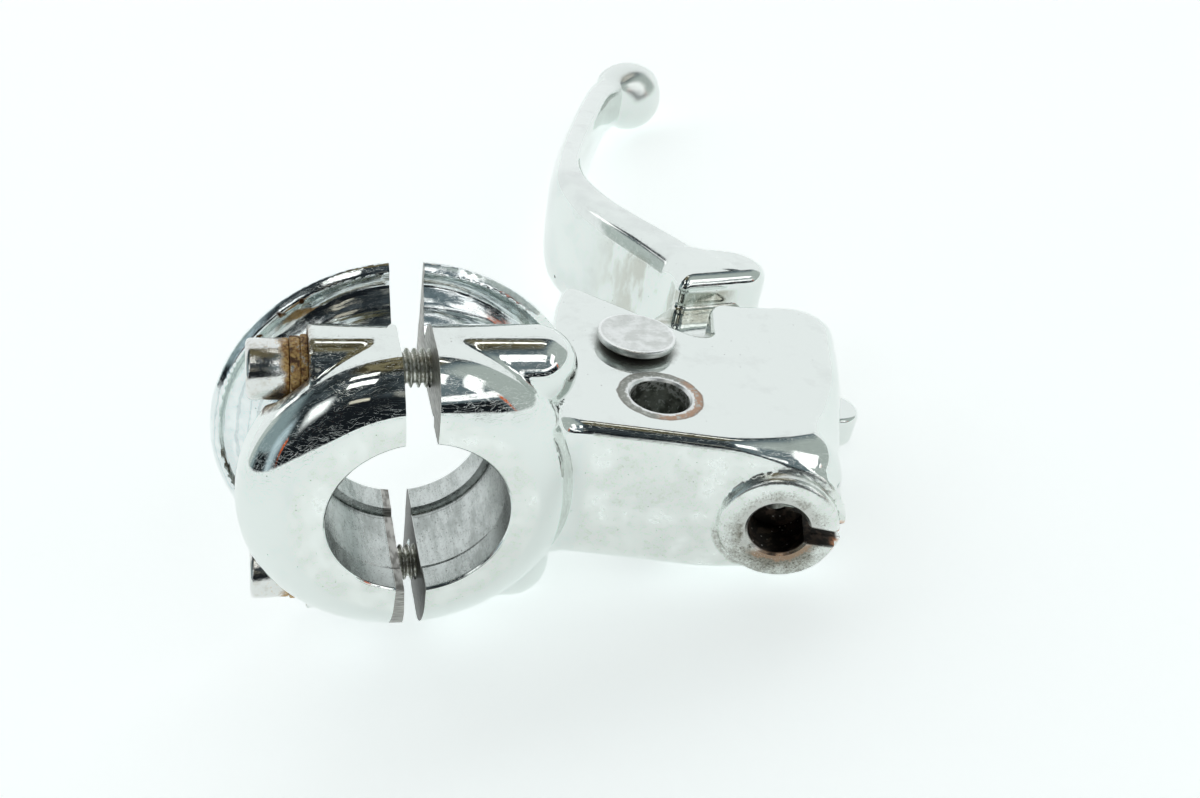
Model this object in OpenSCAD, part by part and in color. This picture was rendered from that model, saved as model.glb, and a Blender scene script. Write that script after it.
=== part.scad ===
// Cable clutch lever with its split handlebar bracket, for a one inch bar.
// Millimetres. The origin is on the handlebar's axis, at the inboard face of the clamp.
// +Y runs along the bar towards its end, +X forward to the lever, +Z up.

/* [Handlebar clamp] */
// Radius of the handlebar
bar_r = 12.7; // [12.5:0.05:12.9]
// Length of the clamp along the bar
clamp_w = 23.6; // [22:0.1:26]
// Largest radius of the inboard ring
ring_r = 23.4; // [22.5:0.1:24.5]
// Radius of the ring's flat face
ring_face_r = 18.4; // [17:0.1:19.5]
// Radius of the dished outboard flange
flange_r = 27.75; // [26:0.05:29]
// Distance from the bar's axis plane to the bracket's split face
split_gap = 1.6; // [1:0.1:2]
// Distance from the bar's axis plane to the cap's split face, at bar height
cap_gap = 2.0; // [1.5:0.1:2.4]
// Lean of the cap's split face, which leaves the gap wider on top
cap_lean = 2.6; // [0:0.1:3]

/* [Clamp screws] */
// Radius of the screw thread, number 12 with 24 threads to the inch
screw_r = 2.745; // [2.4:0.005:3]
// Radius of the socket head
head_r = 4.115; // [3.9:0.005:4.5]
// Height of the socket head
head_h = 5.49; // [5:0.01:6]
// Height of each screw above or below the bar's axis
screw_z = 17.5; // [17:0.1:18.5]
// Place of the screws along the bar
screw_y = 11.5; // [10.5:0.1:12.5]
// Radius of the round bosses that hold the screws
barrel_r = 6.0; // [5.5:0.1:6.3]
// Length of the cap's bosses from the bar's axis plane
barrel_out = 14.6; // [13:0.1:16]

/* [Lever housing] */
// Height of the housing's top face
top_z = 12.2; // [11.5:0.1:12.8]
// Height of the housing's bottom face
bottom_z = -11.7; // [-12.5:0.1:-11]
// Height of the slot that the lever turns in
slot_h = 10.8; // [10.6:0.1:12]
// Rounding of the housing's long edges
edge_r = 2.0; // [0.5:0.1:2.1]
// Radius of the mirror stem's hole
mirror_r = 4.5; // [4:0.05:4.8]

/* [Cable seat] */
// Radius of the cable seat's boss
boss_r = 8.9; // [8.5:0.1:9.2]
// Radius of the bore that takes the cable's ferrule
ferrule_r = 4.47; // [4:0.01:5]
// Depth of the ferrule's bore
ferrule_depth = 7; // [5:0.5:7.5]
// Width of the slit that lets the cable in sideways
slit_w = 3.0; // [2.4:0.1:3.4]

/* [Lever] */
// Thickness of the lever's hub and nose
hub_h = 10.0; // [9:0.1:10.2]
// Radius of the lever's hub
hub_r = 8.0; // [7.5:0.1:8.2]
// Radius of the ball on the lever's end
ball_r = 9.0; // [8:0.1:10]
// Half height of the finger blade where it is widest
blade_half_h = 11.6; // [9:0.1:12]

/* [Pivot] */
// Radius of the pivot pin
pin_r = 3.97; // [3.9:0.01:4]
// Radius of the pivot pin's head
pin_head_r = 6.28; // [5.8:0.02:6.5]
// Radius of the cable anchor
anchor_r = 4.75; // [4.5:0.05:5]

/* [Hidden] */
$fn = 96;
running = 0.04;                         // radial clearance of a turning fit
pivot = [36.5, 26.7];                   // pivot pin, seen from above
mirror = [36.2, 11.7];                  // mirror stem's hole
boss = [51.7, -5.1, -0.6];              // middle of the cable seat's face
boss_yaw = 20;                          // cable's angle to the bar
slot_mid = (top_z + bottom_z) / 2;      // middle of the lever's slot
hub_lo = slot_mid - hub_h / 2;
anchor_arm = 25.2;                      // pivot to the cable's line
anchor_turn = -13;                      // anchor's place around the pivot
anchor = pivot + anchor_arm * [cos(anchor_turn), sin(anchor_turn)];
nose_arm = 33.5;                        // pivot to the middle of the nose's round tip
nose_turn = -10;
nose = pivot + nose_arm * [cos(nose_turn), sin(nose_turn)];
ball = [81, 183];
flat_washer_t = 0.95;
lock_washer_t = 1.45;
washer_hole_r = screw_r + 0.2;
head_x = barrel_out + flat_washer_t + lock_washer_t;
chrome = [0.82, 0.84, 0.85];
steel = [0.62, 0.63, 0.64];
bronze = [0.72, 0.55, 0.30];

// Points of an arc about c, from angle a to angle b
function arc(c, r, a, b, n = 8) =
    [for (i = [0:n]) c + r * [cos(a + (b - a) * i / n), sin(a + (b - a) * i / n)]];

// Points of a quarter ellipse from [r0, y0] to [r1, y1], leaving along r
function quarter(r0, y0, r1, y1, n = 8) =
    [for (i = [0:n]) [r0 + (r1 - r0) * sin(90 * i / n), y0 + (y1 - y0) * (1 - cos(90 * i / n))]];

// An outline whose corners [x, y, r] are rounded to radius r
function unit(v) = v / norm(v);
function corner(a, b, c, r, n = 6) =
    let (u = unit(a - b), v = unit(c - b), half = acos(u * v) / 2)
    let (m = b + unit(u + v) * r / sin(half), t = b + u * r / tan(half))
    let (s = t - m, e = b + v * r / tan(half) - m, w = 180 - 2 * half)
    let (turn = sign(s.x * e.y - s.y * e.x))
    [for (i = [0:n]) let (g = turn * w * i / n)
        m + [s.x * cos(g) - s.y * sin(g), s.x * sin(g) + s.y * cos(g)]];
function rounded(p) = let (n = len(p)) [for (i = [0:n - 1])
    let (a = p[(i + n - 1) % n], b = p[i], c = p[(i + 1) % n])
    each (b.z > 0 ? corner([a.x, a.y], [b.x, b.y], [c.x, c.y], b.z) : [[b.x, b.y]])];

// Turns a profile drawn as [radius, place along the bar] into a solid around the bar
module around_bar() { rotate([-90, 0, 0]) mirror([0, 1, 0]) rotate_extrude($fn = 128) children(); }
module along_x(r, from, to) { translate([from, 0, 0]) rotate([0, 90, 0]) cylinder(r = r, h = to - from); }

// Inboard ring: flat face, full round shoulder and a rounded back that drops to the hub
ring_wide_y = 6.6;
hub_wall_r = 17.2;
module ring_profile() {
    polygon(concat(
        [[bar_r - 2, 0]],
        quarter(ring_face_r, 0, ring_r, ring_wide_y),
        [[ring_r, ring_wide_y + 1.2]],
        arc([ring_r - 3, ring_wide_y + 1.2], 3, 0, 80, 6),
        [[hub_wall_r, ring_wide_y + 5.2], [bar_r - 2, ring_wide_y + 5.2]]
    ));
}

// Hub and dished flange: a thin rim whose inboard side curves down to the hub
rim_t = 1.0;
cone_t = 3.2;                           // thickness the dish gains evenly towards the hub
cove_t = 3.2;                           // and what its cove adds close to the hub
module flange_profile() {
    dish = [for (i = [0:14]) let (reach = 1 - i / 14)
        [flange_r - 0.3 - (flange_r - 0.3 - hub_wall_r) * reach,
         clamp_w - rim_t - cone_t * reach - cove_t * pow(reach, 4)]];
    polygon(concat(
        [[bar_r - 2, 6], [hub_wall_r, 6]],
        dish,
        [[flange_r, clamp_w - rim_t + 0.3], [flange_r, clamp_w - 0.4], [flange_r - 0.4, clamp_w]],
        [[25, clamp_w], [24.2, clamp_w - 0.8], [16.6, clamp_w - 0.8], [15.8, clamp_w], [bar_r - 2, clamp_w]]
    ));
}

// The bar's bore: two lands with a relieved middle
land_w = 4.6;
relief_r = bar_r + 0.8;
module bar_bore() {
    around_bar() polygon([
        [0, -1], [bar_r, -1], [bar_r, land_w], [relief_r, land_w + 0.4],
        [relief_r, clamp_w - land_w - 1.0], [bar_r, clamp_w - land_w - 0.6],
        [bar_r, clamp_w + 1], [0, clamp_w + 1],
    ]);
}

// Round boss around a screw, closed by a half ball
module barrel(from, to) {
    translate([0, screw_y, 0]) rotate([0, 90, 0]) rotate_extrude() polygon(concat(
        [[0, from]], [[barrel_r, from]], [for (a = [0:10:90]) [barrel_r * cos(a), to + barrel_r * sin(a)]]
    ));
}
module bracket_clamp_half() {
    around_bar() ring_profile();
    around_bar() flange_profile();
    for (side = [-1, 1]) translate([0, 0, side * screw_z]) barrel(-3, 16.5);
}

// Outline of the housing, seen from above
boss_dir = [sin(boss_yaw), cos(boss_yaw)];
front_dir = [cos(boss_yaw), -sin(boss_yaw)];
front_lo = [boss.x, boss.y] + boss_r * front_dir;
function front(t) = front_lo + t * boss_dir;
housing_outline = [
    [12, 6.5, 0], [23.5, 4.6, 0],
    [front(1.5).x, front(1.5).y, 6], [front(52.2).x, front(52.2).y, 8.5],
    [54.6, 41.6, 2.2], [51.6, 31.8, 3], [46.8, 31.8, 3],
    [36.4, 42.0, 8], [29.4, 46.6, 2.4], [24.9, 40.0, 5],
    [25.4, 28.0, 10], [25.0, 21.5, 4], [20, 21.5, 0], [12, 20, 0],
];

// Rounds one long edge of the housing, from a to b with the housing on the left
cut_margin = 1;
cut_bite = 0.02;                        // lets the cutter cross the flat faces instead of grazing them
module edge_cut(a, b, side) {
    translate([a.x, a.y, side > 0 ? top_z : bottom_z]) rotate([0, 0, atan2(b.y - a.y, b.x - a.x)])
        rotate([90, 0, 90]) linear_extrude(norm([b.x - a.x, b.y - a.y])) mirror([0, side > 0 ? 0 : 1, 0])
            difference() {
                translate([-cut_margin, -edge_r]) square(edge_r + cut_margin);
                translate([edge_r, -edge_r]) circle(r = edge_r + cut_bite);
            }
}
eased_sides = [1, 2, 3, 4, 6, 7, 8, 9]; // sides of the outline whose edges are rounded
module housing_block() difference() {
    translate([0, 0, bottom_z]) linear_extrude(top_z - bottom_z) polygon(rounded(housing_outline));
    for (i = eased_sides, side = [-1, 1]) edge_cut(housing_outline[i], housing_outline[i + 1], side);
}

// The cable's seat, drawn with its face at y = 0 and its axis along +y
module boss_frame() { translate(boss) rotate([0, 0, -boss_yaw]) children(); }
module cable_boss() {
    boss_frame() rotate([-90, 0, 0]) rotate_extrude() polygon([
        [0, 0], [boss_r - 0.7, 0], [boss_r - 0.2, 0.2], [boss_r, 0.7], [boss_r, 2.0],
        [boss_r + 0.9, 2.3], [boss_r + 1.0, 2.7], [boss_r + 1.0, 4.5], [boss_r, 7], [boss_r, 12], [0, 12],
    ]);
}
module cable_passage() {
    boss_frame() rotate([-90, 0, 0]) {
        translate([0, 0, -1]) cylinder(r = ferrule_r, h = ferrule_depth + 1);
        cylinder(r = 2.2, h = 30);
        translate([0, 0, -0.01]) cylinder(r1 = ferrule_r + 0.5, r2 = ferrule_r, h = 0.5);
    }
    boss_frame() translate([0, -1, -slit_w / 2]) cube([20, 40, slit_w]);
}

// Room for the lever between the top and the bottom plate
column_r = 6.4;
module lever_slot() {
    translate([0, 0, slot_mid - slot_h / 2]) linear_extrude(slot_h) difference() {
        union() {
            translate(pivot) circle(r = hub_r + 0.6);
            polygon([
                [pivot.x - hub_r - 0.6, pivot.y], [pivot.x - hub_r - 0.6, 60], [95, 60], [95, 0],
                [64.5, -0.2], [57, 1.8], [44, 5.5], [40, 12], [pivot.x, pivot.y - hub_r],
            ]);
        }
        translate(mirror) circle(r = column_r);
    }
}

module bracket() color(chrome) difference() {
    union() {
        bracket_clamp_half();
        housing_block();
        cable_boss();
    }
    bar_bore();
    translate([-60 + split_gap, -20, -40]) cube([60, 80, 80]);
    lever_slot();
    cable_passage();
    translate([pivot.x, pivot.y, -20]) cylinder(r = pin_r + running, h = 40);
    translate([mirror.x, mirror.y, -20]) cylinder(r = mirror_r, h = 40);
    for (side = [-1, 1]) on_screw(side) along_x(screw_r + running, 0, 18);
}

module on_screw(side) { translate([0, screw_y, side * screw_z]) children(); }

// Cap: the clamp's other half, with through holes for the screws and room cut for their heads
ring_shift = 0.8;
head_room_r = 5.0;
module clamp_cap() color(chrome) difference() {
    intersection() {
        union() {
            translate([-ring_shift, 0, 0]) around_bar() ring_profile();
            around_bar() flange_profile();
            for (side = [-1, 1]) on_screw(side) along_x(barrel_r, -barrel_out, 10);
        }
        rotate([0, -cap_lean, 0]) translate([-60 - cap_gap, -1, -40]) cube([60, clamp_w + 2, 80]);
    }
    bar_bore();
    for (side = [-1, 1]) on_screw(side) {
        along_x(washer_hole_r, -30, 0);
        along_x(head_room_r, -30, -barrel_out);
    }
}

// Socket head screw, drawn with its axis along +x
socket_af = 3.97;
screw_tip = 15.0;
module clamp_screw() {
    difference() {
        rotate([0, 90, 0]) rotate_extrude() polygon([
            [0, -head_x - head_h], [head_r - 0.5, -head_x - head_h], [head_r, -head_x - head_h + 0.5],
            [head_r, -head_x], [screw_r, -head_x], [screw_r, screw_tip - 0.8],
            [screw_r - 0.8, screw_tip], [0, screw_tip],
        ]);
        translate([-head_x - head_h - 1, 0, 0]) rotate([0, 90, 0])
            cylinder(r = socket_af / 2 / cos(30), h = 3.8, $fn = 6);
    }
}
module clamp_screw_upper() color(steel) on_screw(1) clamp_screw();
module clamp_screw_lower() color(steel) on_screw(-1) clamp_screw();

module flat_washer() {
    difference() {
        along_x(4.6, -barrel_out - flat_washer_t, -barrel_out);
        along_x(washer_hole_r, -barrel_out - 3, -barrel_out + 1);
    }
}
module flat_washer_upper() color(steel) on_screw(1) flat_washer();
module flat_washer_lower() color(steel) on_screw(-1) flat_washer();

module lock_washer() {
    split_w = 0.7;
    difference() {
        along_x(4.4, -head_x, -head_x + lock_washer_t);
        along_x(washer_hole_r, -head_x - 1, -head_x + lock_washer_t + 1);
        translate([-head_x + lock_washer_t / 2, 0, 4]) rotate([0, 0, 25])
            cube([8, split_w, 8], center = true);
    }
}
module lock_washer_upper() color(steel) on_screw(1) lock_washer();
module lock_washer_lower() color(steel) on_screw(-1) rotate([140, 0, 0]) lock_washer();

// Finger blade: sections [x, y, half thickness, half height] from the shoulder to the ball
blade = [
    [59.5, 54.5, 5.6, 10.9], [54.6, 64.5, 5.0, 11.3], [47.2, 78.5, 4.3, blade_half_h],
    [42.9, 92.0, 3.9, blade_half_h], [44.6, 106.5, 3.7, 10.4], [50.2, 124.0, 3.6, 8.8],
    [57.9, 144.5, 3.6, 7.4], [65.4, 162.5, 3.8, 6.6], [72.4, 175.0, 4.6, 6.0], [80.0, 182.6, 5.6, 5.6],
];
blade_steps = 6;
section_points = 28;
function spline(a, b, c, d, t) = 0.5 * (2 * b + (c - a) * t
    + (2 * a - 5 * b + 4 * c - d) * t * t + (3 * b - a - 3 * c + d) * t * t * t);
function blade_at(s) = let (
    i = min(floor(s), len(blade) - 2), t = s - i,
    a = blade[max(i - 1, 0)], b = blade[i], c = blade[i + 1], d = blade[min(i + 2, len(blade) - 1)])
    spline(a, b, c, d, t);
function power(v, p) = sign(v) * pow(abs(v), p);
function blade_ring(s) = let (
    m = blade_at(s), ahead = blade_at(s + 0.02) - blade_at(s - 0.02),
    along = unit([ahead.x, ahead.y]), side = [along.y, -along.x], squareness = 0.62)
    [for (k = [0:section_points - 1]) let (
        a = 360 * k / section_points,
        across = m[2] * power(cos(a), squareness), up = m[3] * power(sin(a), squareness))
        [m.x + side.x * across, m.y + side.y * across, slot_mid + up]];
module blade_loft() {
    n = section_points;
    rings = [for (i = [0:(len(blade) - 1) * blade_steps]) blade_ring(max(0.02, i / blade_steps - 0.02))];
    last = len(rings) - 1;
    polyhedron(
        points = [for (r = rings) each r],
        faces = concat(
            [[for (k = [n - 1:-1:0]) k]],
            [for (i = [0:last - 1], k = [0:n - 1])
                [i * n + k, i * n + (k + 1) % n, (i + 1) * n + (k + 1) % n, (i + 1) * n + k]],
            [[for (k = [0:n - 1]) last * n + k]]
        )
    );
}

// Shoulder that meets the housing when the lever is let go
shoulder_outline = [
    [52.2, 49.8, 1.6], [71.5, 52.4, 2.2], [71.3, 62.2, 6], [64.0, 64.8, 3], [53.0, 64.6, 3],
];
module shoulder() {
    round_r = 2.0;
    steps = 3;
    low = slot_mid - 11.3 + round_r;
    high = slot_mid + 11.3 - round_r;
    translate([0, 0, low]) linear_extrude(high - low) polygon(rounded(shoulder_outline));
    for (i = [1:steps]) {
        rise = round_r * sin(90 * i / steps);
        inset = round_r * (1 - cos(90 * i / steps));
        prior = round_r * sin(90 * (i - 1) / steps);
        for (side = [0, 1]) translate([0, 0, side ? high + prior : low - rise])
            linear_extrude(rise - prior) offset(delta = -inset * 0.9) polygon(rounded(shoulder_outline));
    }
}

// Flat plate of the lever that turns between the housing's plates
neck_outline = [
    [pivot.x - 6.5, pivot.y + 4.5, 0], [43.5, 40, 6], [53, 56, 0], [66, 56, 0], [57.5, 38, 8],
    [nose.x - 2, nose.y + 4.6, 4], [nose.x + 1.0, nose.y + 4.2, 0], [nose.x + 1, nose.y - 4.2, 0],
    [anchor.x + 1, anchor.y - 6.4, 6], [49, 18.8, 8], [pivot.x + 3, pivot.y - 7.4, 0],
];
module hub_plate() {
    translate([0, 0, hub_lo]) linear_extrude(hub_h) {
        translate(pivot) circle(r = hub_r);
        polygon(rounded(neck_outline));
        translate(nose) circle(r = 4.3);
        translate(anchor) circle(r = anchor_r + 2.2);
    }
}

bushing_r = 5.6;
module lever() color(chrome) difference() {
    union() {
        hub_plate();
        shoulder();
        blade_loft();
        translate([ball.x, ball.y, slot_mid]) sphere(r = ball_r, $fn = 64);
    }
    translate([pivot.x, pivot.y, -20]) cylinder(r = bushing_r, h = 40);
    translate([anchor.x, anchor.y, -20]) cylinder(r = anchor_r + running, h = 40);
    // slit that lets the cable's inner wire swing with the anchor
    translate([anchor.x, anchor.y, boss.z]) rotate([0, 0, -boss_yaw])
        translate([-slit_w / 2, -20, -slit_w / 2]) cube([20, 20, slit_w]);
}

module pivot_bushing() color(bronze) translate([pivot.x, pivot.y, hub_lo]) difference() {
    cylinder(r = bushing_r, h = hub_h);
    translate([0, 0, -1]) cylinder(r = pin_r + running, h = hub_h + 2);
}

// Pivot pin: thin disc head on a short step, grooved below the housing for its clip
head_top = 2.0;
disc_t = 1.0;
groove_z = bottom_z - 1.3;
groove_r = 3.0;
module pivot_pin() color(steel) translate([pivot.x, pivot.y, 0]) rotate_extrude() polygon([
    [0, groove_z - 1.6], [pin_r - 0.6, groove_z - 1.6], [pin_r, groove_z - 1.0], [pin_r, groove_z],
    [groove_r, groove_z], [groove_r, groove_z + 1.1], [pin_r, groove_z + 1.1], [pin_r, top_z],
    [5.0, top_z], [5.0, top_z + head_top - disc_t], [pin_head_r - 0.15, top_z + head_top - disc_t],
    [pin_head_r, top_z + head_top - disc_t + 0.15], [pin_head_r, top_z + head_top - 0.25],
    [pin_head_r - 0.25, top_z + head_top], [0, top_z + head_top],
]);

clip_t = 0.9;
module pin_clip() color(steel) translate([pivot.x, pivot.y, groove_z + 0.1]) difference() {
    cylinder(r = 6.6, h = clip_t);
    translate([0, 0, -1]) cylinder(r = groove_r + running, h = 3);
    translate([0, 0, -1]) linear_extrude(3) polygon([[0, -2.6], [9, -3.4], [9, 3.4], [0, 2.6]]);
    for (a = [105, -105]) rotate([0, 0, a]) translate([4.6, 0, -1]) cylinder(r = 1.1, h = 3);
}

// Barrel anchor that the cable's end drops into
module cable_anchor() color(steel) translate([anchor.x, anchor.y, 0]) difference() {
    translate([0, 0, slot_mid - hub_h / 2]) cylinder(r = anchor_r, h = hub_h);
    translate([0, 0, boss.z]) rotate([0, 0, -boss_yaw]) {
        rotate([90, 0, 0]) translate([0, 0, -10]) cylinder(r = 1.3, h = 20);
        rotate([-90, 0, 0]) cylinder(r = 2.6, h = 10);
        translate([0, -10, -1.3]) cube([10, 10, 2.6]);
    }
}

bracket();
clamp_cap();
clamp_screw_upper();
clamp_screw_lower();
lock_washer_upper();
lock_washer_lower();
flat_washer_upper();
flat_washer_lower();
lever();
pivot_pin();
pivot_bushing();
pin_clip();
cable_anchor();
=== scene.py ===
import bpy
import math
import numpy as np
from mathutils import Matrix, Vector


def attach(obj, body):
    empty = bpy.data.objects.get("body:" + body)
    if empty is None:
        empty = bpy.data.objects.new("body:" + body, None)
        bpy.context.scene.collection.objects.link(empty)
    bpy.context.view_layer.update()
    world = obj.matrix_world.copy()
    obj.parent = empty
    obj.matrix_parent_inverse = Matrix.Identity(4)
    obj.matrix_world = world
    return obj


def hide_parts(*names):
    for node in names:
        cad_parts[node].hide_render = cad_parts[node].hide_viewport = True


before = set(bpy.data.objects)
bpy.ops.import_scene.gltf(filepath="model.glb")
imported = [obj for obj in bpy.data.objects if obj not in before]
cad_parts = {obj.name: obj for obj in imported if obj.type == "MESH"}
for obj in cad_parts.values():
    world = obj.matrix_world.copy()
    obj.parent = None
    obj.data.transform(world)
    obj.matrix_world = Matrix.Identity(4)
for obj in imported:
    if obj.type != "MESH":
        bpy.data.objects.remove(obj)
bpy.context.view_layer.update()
mm = 0.001
print("frame loaded:", len(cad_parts), "nodes")


# forms as fields: negative inside, positive outside, in millimetres

def roundMax(a, b, r):  # outside corner of two faces, rounded to r
    return np.minimum(np.maximum(a, b), -r) + np.hypot(np.maximum(a + r, 0), np.maximum(b + r, 0))


def roundMin(a, b, r):  # inside corner of two forms, filled to r
    return np.maximum(np.minimum(a, b), r) - np.hypot(np.maximum(r - a, 0), np.maximum(r - b, 0))


def ovalMax(a, b, ra, rb):  # outside corner rounded to a quarter oval
    a, b = a / ra, b / rb
    edge = np.minimum(np.maximum(a, b), -1)
    return (edge + np.hypot(np.maximum(a + 1, 0), np.maximum(b + 1, 0))) * min(ra, rb)


def side(x, y, point, outward):  # straight wall seen from above
    return (x - point[0]) * outward[0] + (y - point[1]) * outward[1]


def limb(x, y, a, b, ra, rb):  # flat bar with round ends, ra at a and rb at b
    ux, uy = b[0] - a[0], b[1] - a[1]
    t = np.clip(((x - a[0]) * ux + (y - a[1]) * uy) / (ux * ux + uy * uy), 0, 1)
    return np.hypot(x - a[0] - t * ux, y - a[1] - t * uy) - (ra + (rb - ra) * t)


def ease(v, low, high):
    t = np.clip((v - low) / (high - low), 0, 1)
    return t * t * (3 - 2 * t)


def smoothTrack(at, values):  # natural cubic through (at, values)
    at, values = np.array(at, float), np.array(values, float)
    gap, n = np.diff(at), len(at)
    grid, want = np.eye(n), np.zeros(n)
    for i in range(1, n - 1):
        grid[i, i - 1:i + 2] = gap[i - 1], 2 * (gap[i - 1] + gap[i]), gap[i]
        want[i] = 6 * ((values[i + 1] - values[i]) / gap[i] - (values[i] - values[i - 1]) / gap[i - 1])
    bend = np.linalg.solve(grid, want)

    def track(y, slope=False):
        y = np.clip(y, at[0], at[-1])
        i = np.clip(np.searchsorted(at, y) - 1, 0, n - 2)
        h, p, q = gap[i], at[i + 1] - y, y - at[i]
        a, b = values[i] / h - bend[i] * h / 6, values[i + 1] / h - bend[i + 1] * h / 6
        if slope:
            return (-bend[i] * p * p + bend[i + 1] * q * q) / (2 * h) - a + b
        return (bend[i] * p ** 3 + bend[i + 1] * q ** 3) / (6 * h) + a * p + b * q
    return track


def surfaceNet(field, low, high, cell):
    low = np.array(low, float)
    axes = [np.arange(low[i], high[i] + cell, cell) for i in range(3)]
    values = field(*np.meshgrid(*axes, indexing="ij", sparse=True))
    solid = values < 0
    size = np.array(values.shape) - 1
    corners = np.array([(i, j, k) for i in (0, 1) for j in (0, 1) for k in (0, 1)])
    filled = sum(solid[i:i + size[0], j:j + size[1], k:k + size[2]].astype(np.int8) for i, j, k in corners)
    mixed = (filled > 0) & (filled < 8)
    cells = np.argwhere(mixed)
    index = np.full(size, -1)
    index[mixed] = np.arange(len(cells))
    held = np.stack([values[tuple((cells + c).T)] for c in corners], 1)
    total, crossings = np.zeros((len(cells), 3)), np.zeros(len(cells))
    for a in range(8):
        for b in range(a + 1, 8):
            if np.abs(corners[a] - corners[b]).sum() == 1:
                crossed = (held[:, a] < 0) != (held[:, b] < 0)
                share = np.where(crossed, held[:, a] / np.where(crossed, held[:, a] - held[:, b], 1), 0)
                total += (corners[a] + share[:, None] * (corners[b] - corners[a])) * crossed[:, None]
                crossings += crossed
    points = (cells + total / crossings[:, None]) * cell + low
    quads = []
    for axis in range(3):
        ahead = np.eye(3, dtype=int)[axis]
        u, w = np.eye(3, dtype=int)[(axis + 1) % 3], np.eye(3, dtype=int)[(axis + 2) % 3]
        lower = tuple(slice(0, s) for s in size)
        upper = tuple(slice(ahead[i], size[i] + ahead[i]) for i in range(3))
        for leaving in (True, False):
            start, end = (solid[lower], solid[upper]) if leaving else (solid[upper], solid[lower])
            g = np.argwhere(start & ~end)
            g = g[(g @ u > 0) & (g @ w > 0)]
            ring = [index[tuple(c.T)] for c in (g - u - w, g - w, g, g - u)]
            quads.append(np.stack(ring if leaving else ring[::-1], 1))
    return points, np.concatenate(quads)


def settle(points, quads, field, rounds):  # evens the spacing and brings every point onto the surface
    count = np.zeros(len(points))
    for k in range(4):
        count += np.bincount(quads[:, k], minlength=len(points)) * 2
    step = 0.01
    for turn in range(rounds):
        if turn < rounds - 1:
            total = np.zeros_like(points)
            for k in range(4):
                for other in (1, 3):
                    near = points[quads[:, (k + other) % 4]]
                    for c in range(3):
                        total[:, c] += np.bincount(quads[:, k], near[:, c], len(points))
            points = points * 0.4 + total / count[:, None] * 0.6
        for again in range(2):
            x, y, z = points.T
            slope = np.stack([
                field(x + step, y, z) - field(x - step, y, z),
                field(x, y + step, z) - field(x, y - step, z),
                field(x, y, z + step) - field(x, y, z - step)], 1) / (2 * step)
            size = np.maximum((slope ** 2).sum(1), 0.05)
            move = -(field(x, y, z) / size)[:, None] * slope
            points = points + np.clip(move, -0.3, 0.3)
    return points


def newPiece(name, points, faces):
    mesh = bpy.data.meshes.new(name)
    mesh.from_pydata((np.asarray(points, float) * mm).tolist(), [], [list(map(int, f)) for f in faces])
    mesh.update()
    piece = bpy.data.objects.new(name, mesh)
    bpy.context.scene.collection.objects.link(piece)
    return piece


def formed(name, field, low, high, cell, rounds=4):
    points, quads = surfaceNet(field, low, high, cell)
    points = settle(points, quads, field, rounds)
    print(name, "formed:", len(quads) * 2, "triangles")
    return newPiece(name, points, quads)


def turned(name, profile, start, along, segments=96):
    # profile holds (radius, distance) pairs, from the axis round to the axis, or back to its first pair
    along = Vector(along).normalized()
    turn = along.to_track_quat("Z", "Y").to_matrix()
    points, rings = [], []
    for radius, distance in profile:
        if rings and (radius, distance) == profile[0]:
            rings.append(rings[0])
        elif radius < 1e-6:
            rings.append([len(points)])
            points.append(Vector((0, 0, distance)))
        else:
            rings.append(list(range(len(points), len(points) + segments)))
            angles = [2 * math.pi * i / segments for i in range(segments)]
            points += [Vector((radius * math.cos(a), radius * math.sin(a), distance)) for a in angles]
    faces = []
    for a, b in zip(rings, rings[1:]):
        for i in range(segments):
            j = (i + 1) % segments
            if len(a) == 1 and len(b) > 1:
                faces.append((a[0], b[j], b[i]))
            elif len(b) == 1 and len(a) > 1:
                faces.append((a[i], a[j], b[0]))
            elif len(a) > 1:
                faces.append((a[i], a[j], b[j], b[i]))
    return newPiece(name, [list(turn @ p + Vector(start)) for p in points], faces)


def plate(name, outline, low, high):  # outline runs anticlockwise seen from above
    n = len(outline)
    points = [(x, y, z) for z in (low, high) for x, y in outline]
    faces = [list(range(n))[::-1], list(range(n, 2 * n))]
    faces += [(i, (i + 1) % n, (i + 1) % n + n, i + n) for i in range(n)]
    return newPiece(name, points, faces)


def placed(piece, matrix):
    piece.data.transform(matrix)
    return piece


def solidResult(piece):  # the piece with its modifiers worked in
    graph = bpy.context.evaluated_depsgraph_get()
    shape = piece.evaluated_get(graph)
    mesh = bpy.data.meshes.new_from_object(shape, preserve_all_data_layers=True, depsgraph=graph)
    piece.modifiers.clear()
    piece.data = mesh
    return piece


def cut(piece, cutters, operation="DIFFERENCE"):
    for cutter in cutters:
        step = piece.modifiers.new("cut", "BOOLEAN")
        step.operation, step.solver, step.object = operation, "MANIFOLD", cutter
    solidResult(piece)
    for cutter in cutters:
        bpy.data.objects.remove(cutter)
    return piece


def shaded(piece, sharpAngle=32):
    piece.data.polygons.foreach_set("use_smooth", np.ones(len(piece.data.polygons), bool))
    piece.data.set_sharp_from_angle(angle=math.radians(sharpAngle))
    return piece


def finishPiece(piece, body, slotName, material, *stoodFor):
    piece.data.materials.clear()
    piece.data.materials.append(material)
    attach(piece, body)
    if stoodFor:
        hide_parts(*stoodFor)
    return piece


# camera, floor and light

cameraView = {"place": (-21.1, -122.1, 101.3), "elevation": 32.21, "azimuth": -19.74, "roll": 9.92,
              "lens": 34.5}


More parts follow.
